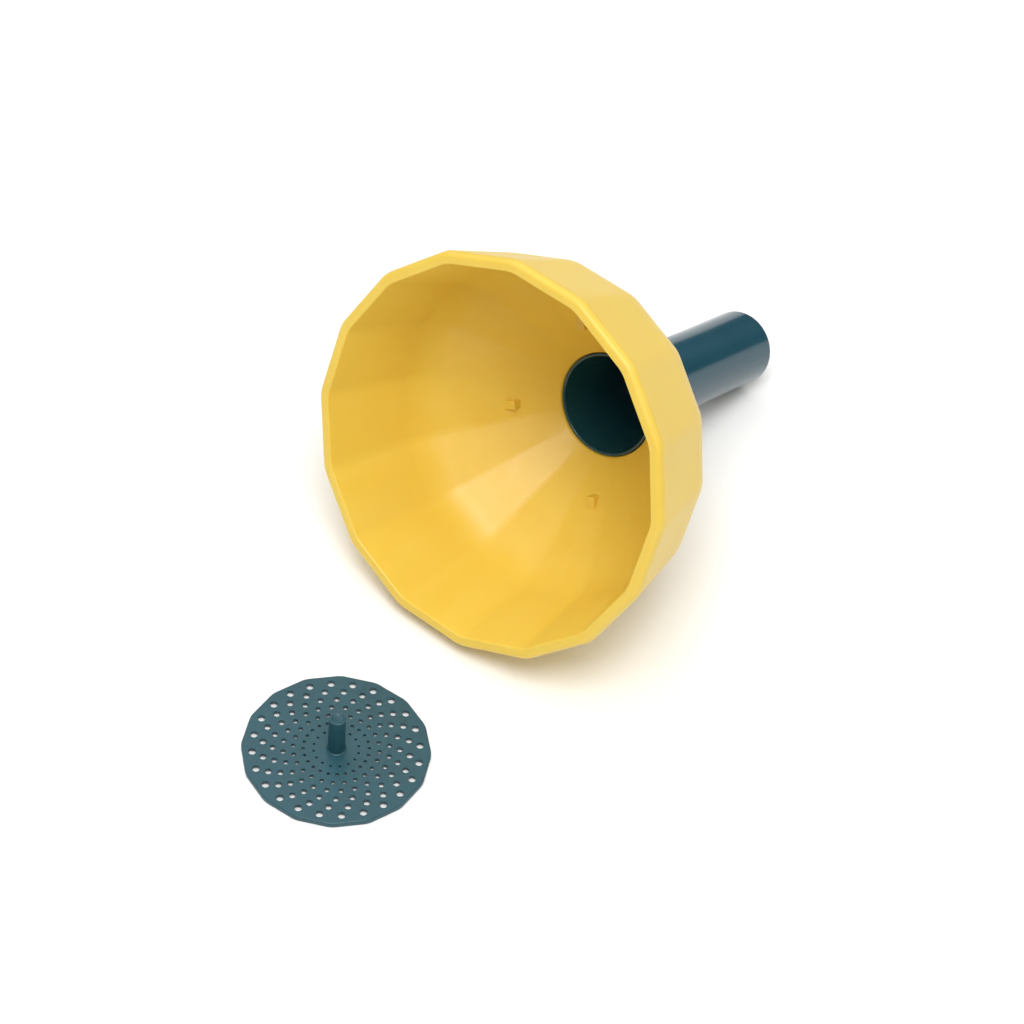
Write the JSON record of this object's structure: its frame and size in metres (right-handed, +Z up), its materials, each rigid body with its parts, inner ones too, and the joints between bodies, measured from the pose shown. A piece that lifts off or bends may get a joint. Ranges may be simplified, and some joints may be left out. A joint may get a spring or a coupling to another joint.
{
  "type": "funnel",
  "caption": "Faceted kitchen funnel lying on its side, with a drop-in round spout and a loose perforated strainer disc with a knob.",
  "frame": {"origin": "centre of the whole set's footprint, on the surface that it lies on", "axes": "+Z is up; +Y runs from the mouth towards the spout's tip, along the surface; the funnel's axis lies in the YZ plane and dips 20.8 degrees towards +Y"},
  "size_m": [0.1276, 0.251, 0.1239],
  "materials": {
    "bowl_plastic": "yellow moulded polypropylene, soft gloss",
    "spout_plastic": "deep teal moulded plastic, high gloss",
    "strainer_plastic": "deep teal moulded plastic, satin"
  },
  "bodies": {
    "funnel_bowl": {"bowl": "bowl_plastic"},
    "spout_tube": {"spout": "spout_plastic"},
    "strainer": {"strainer_plate": "strainer_plastic", "strainer_knob": "strainer_plastic"}
  },
  "joints": [
    {"name": "spout_slide", "type": "slide", "parent": "funnel_bowl", "child": "spout_tube", "axis": [0, -0.9349, 0.3549], "range_m": [0, 0.06]},
    {"name": "strainer_lift", "type": "slide", "parent": "funnel_bowl", "child": "strainer", "axis": [0, 0, 1], "range_m": [0, 0.05]}
  ]
}
